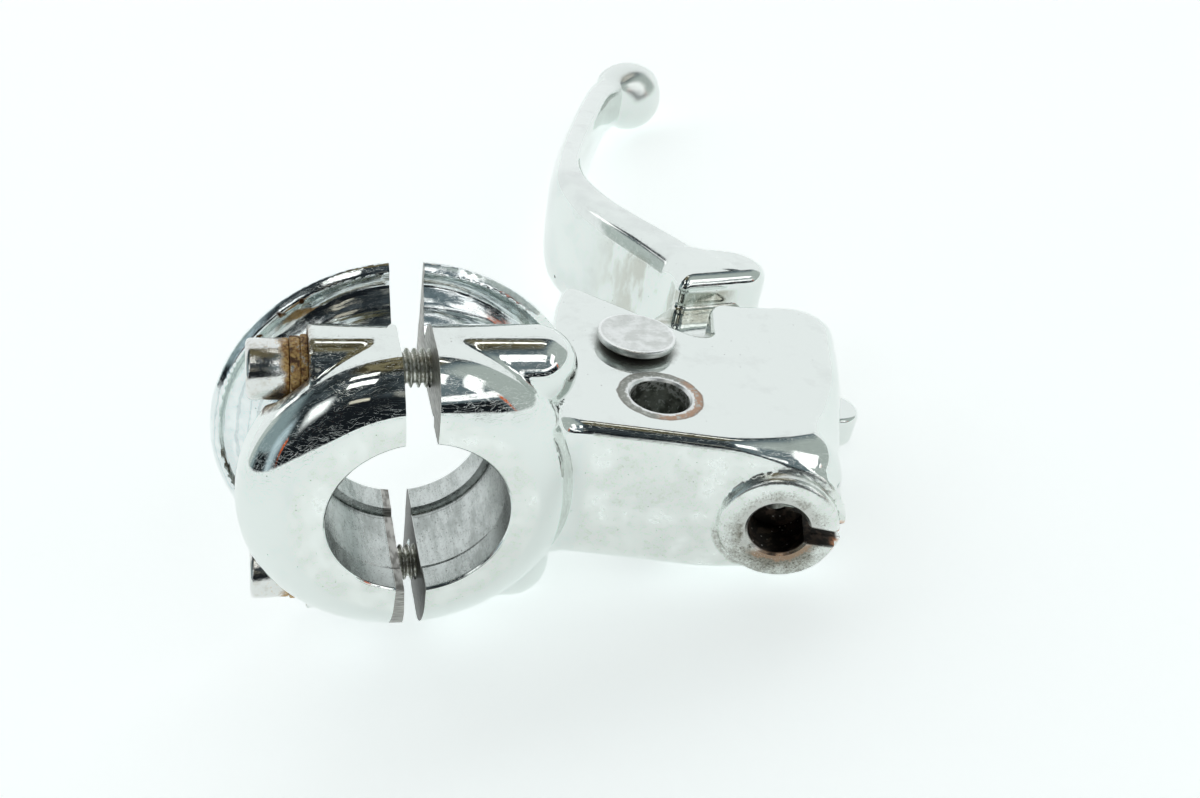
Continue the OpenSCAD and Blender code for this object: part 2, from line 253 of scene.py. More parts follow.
def makeCamera():
    e, a, r = (math.radians(cameraView[k]) for k in ("elevation", "azimuth", "roll"))
    ahead = Vector((-math.sin(a) * math.cos(e), math.cos(a) * math.cos(e), -math.sin(e)))
    right = Vector((math.cos(a), math.sin(a), 0))
    up = right.cross(ahead)
    across = right * math.cos(r) + up * math.sin(r)
    above = up * math.cos(r) - right * math.sin(r)
    camera = bpy.data.objects.new("camera", bpy.data.cameras.new("camera"))
    camera.data.lens, camera.data.sensor_width = cameraView["lens"], 36
    camera.data.clip_start, camera.data.clip_end = 0.01, 20
    turn = Matrix((across, above, -ahead)).transposed()
    camera.matrix_world = Matrix.Translation(Vector(cameraView["place"]) * mm) @ turn.to_4x4()
    bpy.context.scene.collection.objects.link(camera)
    bpy.context.scene.camera = camera


makeCamera()


class Wire:  # a shader socket that takes part in sums
    def __init__(self, tree, socket):
        self.tree, self.socket = tree, socket

    def sum(self, operation, *others):
        inputs = dict(enumerate([self, *others]))
        return addNode(self.tree, "ShaderNodeMath", {"operation": operation}, inputs)

    def __add__(self, other):
        return self.sum("ADD", other)

    def __radd__(self, other):
        return self.sum("ADD", other)

    def __sub__(self, other):
        return self.sum("SUBTRACT", other)

    def __rsub__(self, other):
        return self.sum("MULTIPLY_ADD", -1.0, other)

    def __mul__(self, other):
        return self.sum("MULTIPLY", other)

    def __rmul__(self, other):
        return self.sum("MULTIPLY", other)

    def __truediv__(self, other):
        return self.sum("DIVIDE", other)

    def __pow__(self, other):
        return self.sum("POWER", other)

    def __abs__(self):
        return self.sum("ABSOLUTE")

    def largest(self, other):
        return self.sum("MAXIMUM", other)

    def smallest(self, other):
        return self.sum("MINIMUM", other)


def addNode(tree, kind, settings=None, inputs=None, output=0):
    node = tree.nodes.new(kind)
    for key, value in (settings or {}).items():
        setattr(node, key, value)
    for key, value in (inputs or {}).items():
        socket = node.inputs[key]
        if isinstance(value, Wire):
            tree.links.new(value.socket, socket)
        elif socket.type == "RGBA":
            socket.default_value = (*value, 1)
        else:
            socket.default_value = value
    return Wire(tree, node.outputs[output])


def blendColour(tree, share, a, b):
    return addNode(tree, "ShaderNodeMix", {"data_type": "RGBA"}, {0: share, 6: a, 7: b}, output=2)


def blendValue(tree, share, a, b):
    return addNode(tree, "ShaderNodeMix", {"data_type": "FLOAT"}, {0: share, 2: a, 3: b})


def ramp(tree, value, low, high):  # 0 below low, 1 above high, eased
    return addNode(tree, "ShaderNodeMapRange", {"interpolation_type": "SMOOTHSTEP"},
                   {0: value, 1: low, 2: high, 3: 0.0, 4: 1.0})


# the part lies on its clamp rim, the ball and a corner of the housing
floorNormal, floorHeight = Vector((-0.2726, 0.0194, 0.9619)).normalized(), -27.35
towardsBack = Vector((0.3378, 0.9412, 0))
floorAhead = (towardsBack - floorNormal * floorNormal.dot(towardsBack)).normalized()
floorRight = floorAhead.cross(floorNormal)


def makeFloor():
    turn = floorNormal.to_track_quat("Z", "Y").to_matrix().to_4x4()
    half = 2500
    corners = [(-half, -half, 0), (half, -half, 0), (half, half, 0), (-half, half, 0)]
    floor = newPiece("floor", corners, [(0, 1, 2, 3)])
    floor.data.transform(Matrix.Translation(floorNormal * floorHeight * mm) @ turn)
    material = bpy.data.materials.new("paleTable")
    material.use_nodes = True
    tree = material.node_tree
    shader = tree.nodes["Principled BSDF"]
    place = addNode(tree, "ShaderNodeTexCoord", output=3)
    grain = addNode(tree, "ShaderNodeTexNoise", {}, {"Vector": place, "Scale": 420.0, "Detail": 4.0})
    broad = addNode(tree, "ShaderNodeTexNoise", {}, {"Vector": place, "Scale": 6.0, "Detail": 2.0})
    colour = blendColour(tree, broad, (0.86, 0.885, 0.885), (0.90, 0.92, 0.92))
    tree.links.new(colour.socket, shader.inputs["Base Color"])
    shader.inputs["Roughness"].default_value = 0.75
    shader.inputs["Emission Color"].default_value = (0.95, 1.0, 1.0, 1)
    shader.inputs["Emission Strength"].default_value = 0.55
    bump = addNode(tree, "ShaderNodeBump", {}, {"Height": grain, "Strength": 0.12, "Distance": 0.0003})
    tree.links.new(bump.socket, shader.inputs["Normal"])
    floor.data.materials.append(material)


makeFloor()


def skyBox(tree, across, ahead, low, high, soft):
    # soft edged patch of the sky, bounded in its direction's two level parts
    (west, south), (east, north) = low, high
    patch = ramp(tree, across, west - soft, west + soft) * ramp(tree, across, east + soft, east - soft)
    patch = patch * ramp(tree, ahead, south - soft, south + soft)
    return patch * ramp(tree, ahead, north + soft, north - soft)


studioLights = [  # patches of the dim room: low corner, high corner, edge softness, colour
    ((-0.18, -0.34), (0.10, -0.24), 0.012, (2.2, 2.2, 2.1)),
    ((-0.14, -0.57), (0.14, -0.46), 0.012, (2.6, 2.6, 2.5)),
    ((0.20, 0.245), (0.52, 0.31), 0.012, (2.2, 2.15, 2.05)),
    ((-0.43, -0.81), (-0.23, -0.65), 0.06, (1.7, 1.75, 1.75)),
    ((-0.76, -0.75), (-0.58, -0.61), 0.06, (0.55, 0.68, 0.74)),
    ((0.56, -0.52), (0.66, -0.26), 0.012, (1.9, 1.9, 1.9)),
    ((0.36, -0.81), (0.50, -0.75), 0.02, (0.30, 0.30, 0.27)),
    ((-0.02, -0.855), (0.16, -0.825), 0.010, (0.95, 0.88, 0.72)),
    ((-0.60, -0.80), (-0.555, -0.775), 0.008, (0.75, 0.14, 0.03)),
    ((0.94, -0.28), (0.965, -0.22), 0.008, (0.75, 0.14, 0.03)),
    ((0.77, -0.45), (0.875, -0.05), 0.015, (1.7, 1.7, 1.7)),
    ((-0.90, 0.00), (-0.74, 0.13), 0.02, (1.5, 1.5, 1.5)),
]


def makeWorld():
    # a white studio with a dim room above and behind the camera
    world = bpy.data.worlds.new("studio")
    bpy.context.scene.world = world
    world.use_nodes = True
    tree = world.node_tree
    towards = addNode(tree, "ShaderNodeTexCoord", output=0)
    across, ahead, above = (
        addNode(tree, "ShaderNodeVectorMath", {"operation": "DOT_PRODUCT"}, {0: towards, 1: axis}, output=1)
        for axis in (floorRight, floorAhead, floorNormal))
    upward = ramp(tree, above, -0.01, 0.01)
    ripple = addNode(tree, "ShaderNodeTexNoise", {}, {"Vector": towards, "Scale": 3.4, "Detail": 4.0})
    coarse = addNode(tree, "ShaderNodeTexNoise", {}, {"Vector": towards, "Scale": 7.0, "Detail": 3.0})
    shift = (ripple - 0.5) * 0.10
    edge = (across * 0.42 + 0.40).smallest(0.62)
    room = ramp(tree, edge - ahead + shift * 0.5, -0.022, 0.022) * upward
    wall = blendColour(tree, ramp(tree, coarse, 0.40, 0.64), (0.022, 0.028, 0.032), (0.060, 0.075, 0.085))
    olive = blendColour(tree, ramp(tree, coarse, 0.42, 0.60), (0.060, 0.052, 0.030), (0.22, 0.19, 0.11))
    fromCeiling = ((across - 0.14) ** 2.0 + (ahead - 0.12) ** 2.0) ** 0.5
    wall = blendColour(tree, ramp(tree, fromCeiling + shift, 0.46, 0.28), wall, olive)
    left = ramp(tree, across + shift, -0.55, -0.74) * ramp(tree, ahead, 0.02, -0.16)
    wall = blendColour(tree, left, wall, (0.26, 0.34, 0.36))
    right = ramp(tree, across + shift, 0.48, 0.60)
    wall = blendColour(tree, right, wall, (0.15, 0.195, 0.215))
    wall = blendColour(tree, ramp(tree, across + shift, 0.56, 0.70) * ramp(tree, ahead, -0.34, -0.12), wall,
                       (0.44, 0.49, 0.47))
    wall = blendColour(tree, ramp(tree, across, -0.82, -0.90) * ramp(tree, ahead, -0.24, -0.14), wall,
                       (0.50, 0.56, 0.54))
    low = ramp(tree, ahead, -0.78, -0.86) * ramp(tree, abs(across + 0.08), 0.56, 0.44)
    low = low.largest(ramp(tree, above, 0.21, 0.15) * ramp(tree, ahead, -0.24, -0.40))
    wall = blendColour(tree, low, wall, (0.010, 0.013, 0.016))
    strip = ramp(tree, above, 0.21, 0.23) * ramp(tree, above, 0.33, 0.31) * ramp(tree, across, 0.58, 0.60)
    wall = blendColour(tree, strip * ramp(tree, ahead, -0.18, -0.22), wall, (1.5, 1.5, 1.5))
    colour = blendColour(tree, room, (0.97, 1.0, 1.01), wall)
    for low, high, soft, glow in studioLights:
        patch = skyBox(tree, across, ahead, low, high, soft) * upward
        colour = blendColour(tree, patch, colour, glow)
    tree.links.new(colour.socket, tree.nodes["Background"].inputs["Color"])
    tree.nodes["Background"].inputs["Strength"].default_value = 1.0


makeWorld()
print("studio set")


# shapes of the chrome castings

clampSize = {"bar": 12.7, "width": 23.6, "ring": 23.4, "ringWide": 6.6, "ringBack": 11.8,
             "hub": 17.2, "flange": 27.75, "rim": 1.0, "split": 1.6, "capGap": 2.0, "capLean": 2.6,
             "screwY": 11.5, "screwZ": 17.5, "barrel": 6.0, "barrelOut": 14.6, "ringShift": 0.8}


def ringField(rho, y, s=clampSize):  # a full round, ground flat on its inboard side
    f = ovalMax(rho - s["ring"], -y - 0.8, 12.4, s["ringWide"] + 0.8)
    return roundMax(roundMax(f, -y, 0.25), y - s["ringBack"], 3.0)


def flangeField(rho, y, s=clampSize):
    reach = np.clip((s["flange"] - 0.3 - rho) / (s["flange"] - 0.3 - s["hub"]), 0, 1.2)
    thick = s["rim"] + 3.2 * reach + 3.2 * reach ** 4
    thick = thick + 0.45 * np.exp(-((rho - 26.7) / 0.55) ** 2) - 0.35 * np.exp(-((rho - 24.6) / 1.1) ** 2)
    thick = thick + 0.22 * np.exp(-((rho - 22.2) / 0.8) ** 2)
    slope = (3.2 + 12.8 * reach ** 3) / 10.2
    dish = (s["width"] - thick - y) / np.sqrt(1 + slope ** 2)
    f = roundMax(rho - s["flange"], dish, 0.45)
    return roundMax(f, y - s["width"], 0.5)


def hubField(rho, y, s=clampSize):
    return np.maximum(rho - s["hub"], np.maximum(4 - y, y - s["width"]))


def barrelField(x, y, z, low, high, ballEnd, s=clampSize):
    q = np.hypot(y - s["screwY"], np.abs(z) - s["screwZ"])
    if ballEnd:
        return np.maximum(np.hypot(q, np.maximum(x - high, 0)) - s["barrel"], low - x)
    return np.maximum(q - s["barrel"], np.maximum(low - x, x - high))


def clampField(x, y, z, shift, barrel):
    rho, rhoRing = np.hypot(x, z), np.hypot(x + shift, z)
    f = roundMin(ringField(rhoRing, y), hubField(rho, y), 1.0)
    f = roundMin(f, flangeField(rho, y), 1.2)
    return roundMin(f, barrel, 0.3)


housing = {"top": 12.2, "bottom": -11.7, "pivot": (36.5, 26.7), "mirror": (36.2, 11.7), "mirrorR": 4.5,
           "boss": (51.7, -5.1, -0.6), "yaw": 20, "bossR": 8.9, "collar": 1.0, "ferrule": 4.47,
           "edge": 2.0, "cornerEdge": 8.0, "slotHalf": 5.4}
yaw = math.radians(housing["yaw"])
alongBoss, frontward = (math.sin(yaw), math.cos(yaw)), (math.cos(yaw), -math.sin(yaw))
wallAt, wallOut = (40.0, -0.06), (-0.2516, -0.9678)


def housingPlan(x, y):
    h = housing
    front = side(x, y, (h["boss"][0], h["boss"][1]), frontward) - h["bossR"]
    wall = side(x, y, wallAt, wallOut)
    near = roundMax(front, wall, 5.5)
    body = roundMax(side(x, y, (54.6, 41.5), (0.03, 0.9995)), side(x, y, (53.1, 36.7), (-0.956, 0.293)), 2.2)
    lobe = roundMax(side(x, y, (24.9, 40), (-0.9992, 0.0417)), side(x, y, (29.4, 46.6), (-0.826, 0.563)), 5.0)
    lobe = roundMax(lobe, (x + y - 77.9) * 0.7071, 2.4)
    web = roundMax(y - 21.4, 8 - x, 1.0)
    return roundMax(near, roundMin(roundMin(body, lobe, 5.0), web, 4.0), 9.5)


def bossFrame(x, y, z):
    dx, dy, dz = x - housing["boss"][0], y - housing["boss"][1], z - housing["boss"][2]
    along = dx * alongBoss[0] + dy * alongBoss[1]
    across = dx * frontward[0] + dy * frontward[1]
    return along, np.hypot(across, dz)


def bracketField(x, y, z):
    h, s = housing, clampSize
    middle, half = (h["top"] + h["bottom"]) / 2, (h["top"] - h["bottom"]) / 2
    away = np.hypot(x - 63.5, y - 0.5)
    edge = h["edge"] + (h["cornerEdge"] - h["edge"]) * (1 - ease(away, 0.0, 22.0)) + 1.4 * ease(x, 52.0, 61.0)
    plan, flat = housingPlan(x, y), np.abs(z - middle) - half
    block = roundMax(plan, flat, edge)
    along, reach = bossFrame(x, y, z)
    boss = np.maximum(roundMax(reach - h["bossR"], -along, 0.9), along - 14)
    collar = roundMax(roundMax(reach - h["bossR"] - h["collar"], 2.3 - along, 0.5), along - 5.0, 1.5)
    f = roundMin(block, roundMin(boss, collar, 0.3), 0.6)
    clamp = clampField(x, y, z, 0, barrelField(x, y, z, -3, 16.5, True))
    return np.maximum(roundMin(f, clamp, 1.8), 0.6 - x)


def capField(x, y, z):
    s = clampSize
    f = clampField(x, y, z, s["ringShift"], barrelField(x, y, z, -s["barrelOut"], 10, False))
    return np.maximum(f, x - 1.0)


bladeTable = {
    "y": [54.5, 64.5, 78.5, 92.0, 106.5, 124.0, 144.5, 162.5, 175.0, 184.0],
    "x": [59.5, 54.6, 47.2, 42.9, 44.6, 50.2, 57.9, 65.4, 72.4, 80.6],
    "thick": [5.6, 5.0, 4.3, 3.9, 3.7, 3.6, 3.6, 3.8, 4.4, 5.2],
    "tall": [10.9, 11.3, 11.6, 11.6, 10.4, 8.8, 7.4, 6.6, 6.2, 6.2],
}
leverSize = {"ball": (81, 183), "ballR": 9.0, "hubR": 8.0, "hubHalf": 5.0, "anchor": (61.05, 21.03),
             "nose": (71.0, 20.6), "middle": 0.25, "shoulderHalf": 11.3}
bladeX = smoothTrack(bladeTable["y"], bladeTable["x"])
bladeThick = smoothTrack(bladeTable["y"], bladeTable["thick"])
bladeTall = smoothTrack(bladeTable["y"], bladeTable["tall"])


def leverField(x, y, z):
    v = leverSize
    z = z - v["middle"]
    slope = bladeX(y, slope=True)
    across = (x - bladeX(y)) / np.sqrt(1 + slope ** 2)
    thick, tall = bladeThick(y), bladeTall(y)
    square = 3.2 + 2.2 * ease(y, 112.0, 92.0)
    blade = ((np.abs(across) / thick) ** square + (np.abs(z) / tall) ** square + 1e-9) ** (1 / square)
    blade = (blade - 1) * thick
    blade = np.maximum(blade, np.maximum(55 - y, y - 185))
    plan = roundMax(side(x, y, (52.2, 50.1), (0.165, -0.986)), side(x, y, (71.6, 57), (0.9998, 0.02)), 4.5)
    plan = roundMax(plan, side(x, y, (67.4, 63.5), (0.357, 0.934)), 5.0)
    plan = roundMax(plan, y - 64.8, 3.0)
    plan = roundMax(plan, side(x, y, (52.4, 57), (-0.9987, 0.05)), 2.0)
    block = roundMax(plan, np.abs(z) - v["shoulderHalf"], 3.0)
    ball = np.sqrt((x - v["ball"][0]) ** 2 + (y - v["ball"][1]) ** 2 + z ** 2) - v["ballR"]
    pivot = housing["pivot"]
    fillet = 0.01 + 5.0 * ease(np.hypot(x - pivot[0], y - pivot[1]), 7.5, 13.0)
    neck = roundMin(limb(x, y, pivot, (61.5, 52), v["hubR"], 6.5),
                    limb(x, y, (39.0, 28.6), v["anchor"], 6.4, 7.0), fillet)
    neck = roundMin(neck, limb(x, y, v["anchor"], v["nose"], 7.0, 4.4), 2.0)
    thin = ease(x, 64.0, 67.5)
    neck = roundMax(neck, np.abs(z - 0.6 * thin) - v["hubHalf"] + 2.2 * thin, 0.8)
    f = roundMin(blade, block, 0.8)
    f = roundMin(f, ball, 3.0)
    return roundMin(f, neck, 1.0)


# cutters shared by the castings

def boreCutter(name):
    s = clampSize
    r, w = s["bar"], s["width"]
    profile = [(0, -1), (r + 1.3, -1), (r, 0.3), (r, 4.4), (r + 1.15, 4.7), (r + 1.25, 5.3), (r + 0.8, 5.7),
               (r + 0.8, w - 6.3), (r + 1.2, w - 6.0), (r + 1.1, w - 5.4), (r, w - 5.1), (r, w - 0.3),
               (r + 1.3, w + 1), (0, w + 1)]
    return turned(name, profile, (0, 0, 0), (0, 1, 0), 192)


def pinCutter(name, radius, x, y):
    return turned(name, [(0, -30), (radius, -30), (radius, 30), (0, 30)], (x, y, 0), (0, 0, 1), 96)


def boxCutter(name, low, high):
    outline = [(low[0], low[1]), (high[0], low[1]), (high[0], high[1]), (low[0], high[1])]
    return plate(name, outline, low[2], high[2])


def arcPoints(centre, radius, start, end, steps):
    return [(centre[0] + radius * math.cos(math.radians(start + (end - start) * i / steps)),
             centre[1] + radius * math.sin(math.radians(start + (end - start) * i / steps)))
            for i in range(steps + 1)]


def slotCutter():
    h = housing
    px, py = h["pivot"]
    middle = leverSize["middle"]
    outline = [(px - 8.6, 60)] + arcPoints((px, py), 8.6, 180, 270, 24)
    outline += arcPoints(h["mirror"], 6.4, 80, -50, 24)
    outline += [(44, 5.2), (57, 1.8), (64.5, -0.2), (95, 0), (95, 60)]
    return plate("slotCutter", outline, middle - h["slotHalf"], middle + h["slotHalf"])


def makeBracket(material):
    h, s = housing, clampSize
    piece = formed("bracketCasting", bracketField, (0, -8, -29), (79, 49, 29), 0.5)
    along = (alongBoss[0], alongBoss[1], 0)
    f = h["ferrule"]
    passage = turned("passage", [(0, -2), (f + 2.4, -2), (f, 0.4), (f, 7), (2.2, 7.6), (2.2, 30), (0, 30)],
                     h["boss"], along, 96)
    slit = boxCutter("slit", (0, -3, -1.5), (20, 40, 1.5))
    placed(slit, Matrix.Translation(Vector(h["boss"]) * mm) @ Matrix.Rotation(-yaw, 4, "Z"))
    cutters = [boreCutter("bore"), boxCutter("split", (-10, -20, -40), (s["split"], 60, 40)), slotCutter(),
               passage, slit, pinCutter("pinHole", 4.01, *h["pivot"])]
    r, mouth = h["mirrorR"], h["mirrorR"] + 0.35
    mirrorHole = [(0, -14), (r, -14), (r, h["top"] - 0.35), (mouth, h["top"] + 0.02), (mouth, 14), (0, 14)]
    cutters.append(turned("mirrorHole", mirrorHole, (*h["mirror"], 0), (0, 0, 1), 128))
    for up in (-1, 1):
        cutters.append(turned("screwHole", [(0, -1), (2.8, -1), (2.8, 18), (0, 19)],
                              (0, s["screwY"], up * s["screwZ"]), (1, 0, 0), 64))
    cut(piece, cutters)
    shaded(piece)
    return finishPiece(piece, "housing", "bracket_chrome", material, "bracket")


def makeCap(material):
    s = clampSize
    piece = formed("capCasting", capField, (-29.5, -1, -29), (2, 25, 29), 0.42)
    keep = boxCutter("keep", (-60 - s["capGap"], -5, -40), (-s["capGap"], 40, 40))
    placed(keep, Matrix.Rotation(math.radians(-s["capLean"]), 4, "Y"))
    cutters = [boreCutter("bore")]
    for up in (-1, 1):
        out = -s["barrelOut"]
        cutters.append(turned("screwHole", [(0, -32), (5.0, -32), (5.0, out), (2.95, out), (2.95, 5), (0, 5)],
                              (0, s["screwY"], up * s["screwZ"]), (1, 0, 0), 96))
    cut(piece, cutters)
    cut(piece, [keep], "INTERSECT")
    shaded(piece)
    return finishPiece(piece, "cap", "cap_chrome", material, "clamp_cap")


def makeLever(material):
    v = leverSize
    piece = formed("leverCasting", leverField, (27, 10, -12.5), (92, 194, 12.5), 0.5)
    slit = boxCutter("slit", (-1.5, -20, -1.5), (1.5, 0, 1.5))
    anchorAt = Vector((*v["anchor"], housing["boss"][2])) * mm
    placed(slit, Matrix.Translation(anchorAt) @ Matrix.Rotation(-yaw, 4, "Z"))
    bushHole = pinCutter("bushHole", 5.6, *housing["pivot"])
    cut(piece, [bushHole, pinCutter("anchorHole", 4.79, *v["anchor"]), slit])
    shaded(piece)
    return finishPiece(piece, "lever", "lever_chrome", material, "lever")


# finishes

class Finish:  # one material: its shader, its point in millimetres, and its look so far
    def __init__(self, name):
        self.material = bpy.data.materials.new(name)
        self.material.use_nodes = True
        self.tree = self.material.node_tree
        self.shader = self.tree.nodes["Principled BSDF"]
        self.colour = self.rough = self.height = None
        place = addNode(self.tree, "ShaderNodeTexCoord", output=3)
        self.point = addNode(self.tree, "ShaderNodeVectorMath", {"operation": "SCALE"}, {0: place, 3: 1000.0})
        self.x, self.y, self.z = (addNode(self.tree, "ShaderNodeSeparateXYZ", {}, {0: self.point}, output=i)
                                  for i in range(3))

    def noise(self, scale, detail=3.0, roughness=0.5, stretch=None):
        point = self.point
        if stretch:
            settings = {"operation": "MULTIPLY"}
            point = addNode(self.tree, "ShaderNodeVectorMath", settings, {0: point, 1: stretch})
        return addNode(self.tree, "ShaderNodeTexNoise", {},
                       {"Vector": point, "Scale": scale, "Detail": detail, "Roughness": roughness})

    def ramp(self, value, low, high):
        return ramp(self.tree, value, low, high)

    def band(self, value, low, high, soft):
        return self.ramp(value, low - soft, low + soft) * self.ramp(value, high + soft, high - soft)

    def specks(self, scale, size, share):  # small round spots in some of the cells
        inputs = {"Vector": self.point, "Scale": scale}
        near = addNode(self.tree, "ShaderNodeTexVoronoi", {}, inputs)
        pick = addNode(self.tree, "ShaderNodeTexVoronoi", {}, inputs, output=1)
        red = addNode(self.tree, "ShaderNodeSeparateColor", {}, {0: pick})
        return self.ramp(near, size, size * 0.5) * self.ramp(red, 1 - share, 1 - share + 0.02)

    def scratches(self, scale, stretch, width):  # fine lines, longest along the least stretched axis
        return self.ramp(abs(self.noise(scale, 2.0, 0.5, stretch) - 0.5), width, 0.0)

    def away(self, a, b, centre):  # distance from an axis
        return ((a - centre[0]) ** 2.0 + (b - centre[1]) ** 2.0) ** 0.5

    def mix(self, share, a, b):
        return blendColour(self.tree, share, a, b)

    def blend(self, share, a, b):
        return blendValue(self.tree, share, a, b)

    def paint(self, share, colour, rough=None, strength=1.0):
        # lays a colour, thinned to its strength, and a roughness, where given, over the look so far
        self.colour = self.mix(share * strength if strength < 1.0 else share, self.colour, colour)
        if rough is not None:
            self.rough = self.blend(share, self.rough, rough)

    def applied(self, depth, metallic=1.0):
        for key, value in (("Base Color", self.colour), ("Roughness", self.rough), ("Metallic", metallic)):
            if isinstance(value, Wire):
                self.tree.links.new(value.socket, self.shader.inputs[key])
            else:
                self.shader.inputs[key].default_value = value
        inputs = {"Height": self.height, "Strength": 1.0, "Distance": depth}
        bump = addNode(self.tree, "ShaderNodeBump", {}, inputs)
        self.tree.links.new(bump.socket, self.shader.inputs["Normal"])
        return self.material


tone = {"chrome": (0.77, 0.81, 0.785), "haze": (0.68, 0.71, 0.69), "satin": (0.76, 0.795, 0.76),
        "dark": (0.035, 0.03, 0.028), "rust": (0.30, 0.135, 0.04), "deepRust": (0.10, 0.045, 0.02),
        "copper": (0.62, 0.30, 0.16), "gold": (0.62, 0.42, 0.16)}
castingBump = 0.00009


def chromeFinish(name):
    # polished chrome: slightly wavy, with thin scratches, dust and a patchy haze
    f = Finish(name)
    cloud = f.noise(0.16, 4.0, 0.6)
    fine = f.noise(1.9, 3.0)
    scratch = f.scratches(0.55, (1.0, 4.0, 0.7), 0.006).largest(f.scratches(0.5, (0.6, 1.2, 5.0), 0.005))
    dust = f.specks(0.75, 0.10, 0.16)
    haze = f.ramp(cloud, 0.52, 0.72)
    f.colour = f.mix(haze * 0.5, tone["chrome"], tone["haze"])
    f.paint(dust * 0.65, (0.16, 0.16, 0.15))
    f.rough = 0.035 + haze * 0.06 + scratch * 0.12 + dust * 0.3
    f.height = f.noise(0.10, 1.0) + fine * 0.03 - scratch * 0.03
    return f


def castLook(f, mask):
    # bored or left as cast: mottled, streaked and pitted, with painted shade along two step lines and on the
    # far side
    broad, grain = f.noise(0.14, 4.0, 0.6), f.noise(2.4, 5.0, 0.75)
    streak = f.noise(0.5, 4.0, 0.65, (1.5, 0.35, 1.5))
    pits = f.specks(2.6, 0.24, 0.35)
    tint = f.ramp(broad * 0.45 + streak * 0.55, 0.36, 0.64)
    cast = f.mix(tint, (0.36, 0.39, 0.375), (0.66, 0.70, 0.685))
    cast = f.mix(f.ramp(grain, 0.50, 0.72) * 0.55, cast, (0.20, 0.20, 0.185))
    bend = (broad - 0.5) * 1.6
    # dark lines along the bore's two steps: painted shade
    stepShade = f.band(f.y + bend, 4.75, 4.82, 0.14).largest(f.band(f.y + bend, 5.55, 5.6, 0.12))
    stepShade = stepShade.largest(f.band(f.y - bend, 16.9, 17.0, 0.14)).largest(f.band(f.y - bend, 18.0, 18.1, 0.12))
    cast = f.mix(stepShade * 0.7, cast, tone["dark"])
    cast = f.mix(pits * 0.8, cast, tone["dark"])
    # the far, lower side of the bore darkens: painted shade
    farShade = f.ramp(f.x, 4.0, 13.5) * f.ramp(f.z, -9.0, 0.0) * f.ramp(f.x, 19.0, 18.0)
    cast = f.mix(farShade * 0.72, cast, (0.085, 0.09, 0.085))
    f.paint(mask, cast, 0.22 + tint * 0.10)
    f.height = f.height + mask * (grain * 0.30 + broad * 0.5 - pits * 0.5)


def sawnLook(f, mask):  # the split's two faces, with the saw's lines, and painted shade low on the bracket's face
    lines = f.noise(1.0, 2.0, 0.5, (0.4, 0.5, 7.0))
    sawn = f.mix(f.ramp(lines, 0.36, 0.62), (0.21, 0.205, 0.19), (0.50, 0.495, 0.47))
    # the bracket's face darkens downwards: painted shade inside the gap
    sawn = f.mix(f.ramp(f.z, 0.0, -9.0) * f.ramp(f.x, 0.0, 0.5) * 0.8, sawn, (0.07, 0.07, 0.065))
    f.paint(mask, sawn, 0.42)
    f.height = f.height + mask * lines * 0.35


def satinLook(f, mask):  # ground flat and plated: finely grained, with pale clouds
    cloud, grain, fine = f.noise(0.20, 5.0, 0.68), f.noise(1.3, 4.0, 0.65), f.noise(5.0, 3.0, 0.7)
    pale = f.mix(f.ramp(cloud, 0.40, 0.62), tone["satin"], (0.90, 0.935, 0.91))
    pale = f.mix(f.ramp(grain, 0.48, 0.70) * 0.45, pale, (0.62, 0.64, 0.58))
    pale = f.mix(f.ramp(fine, 0.52, 0.70) * 0.45, pale, (0.54, 0.55, 0.50))
    pale = f.mix(f.specks(1.1, 0.13, 0.22) * 0.6, pale, (0.22, 0.21, 0.18))
    f.paint(mask, pale, 0.15 + cloud * 0.20)
    f.height = f.height * (1.0 - mask) + mask * (grain * 0.12 + fine * 0.05)


def dishLook(f, mask, rho):  # the flange's dish, streaked round its axis
    swirl = f.noise(0.18, 3.0, 0.6) * 1.6
    turning = addNode(f.tree, "ShaderNodeTexNoise", {"noise_dimensions": "1D"},
                      {"W": rho + swirl, "Scale": 1.1, "Detail": 4.0})
    mottle = f.noise(0.6, 5.0, 0.7)
    nick = f.scratches(0.9, (0.5, 1.0, 2.2), 0.012)
    dull = f.mix(f.ramp(mottle, 0.40, 0.64), (0.74, 0.79, 0.79), (0.88, 0.92, 0.91))
    dull = f.mix(f.ramp(turning, 0.54, 0.64) * 0.4, dull, (0.40, 0.45, 0.47))
    dull = f.mix(f.specks(0.9, 0.14, 0.2).largest(nick * 0.5) * 0.6, dull, (0.18, 0.17, 0.15))
    f.paint(mask, dull, 0.07 + f.ramp(mottle, 0.45, 0.70) * 0.16)
    f.height = f.height * (1.0 - mask * 0.6) + mask * turning * 0.45


def clampMasks(f):  # distance from the bar's axis, then the shares of the flange's dish and of the bore
    rho = f.away(f.x, f.z, (0, 0))
    dish = f.ramp(rho, 18.6, 19.6) * f.ramp(f.y, 13.0, 14.5) * f.ramp(f.y, 23.5, 23.2)
    return rho, dish, f.ramp(rho, 14.35, 14.2) * f.ramp(f.y, 0.25, 0.5) * f.ramp(f.y, 23.3, 23.0)


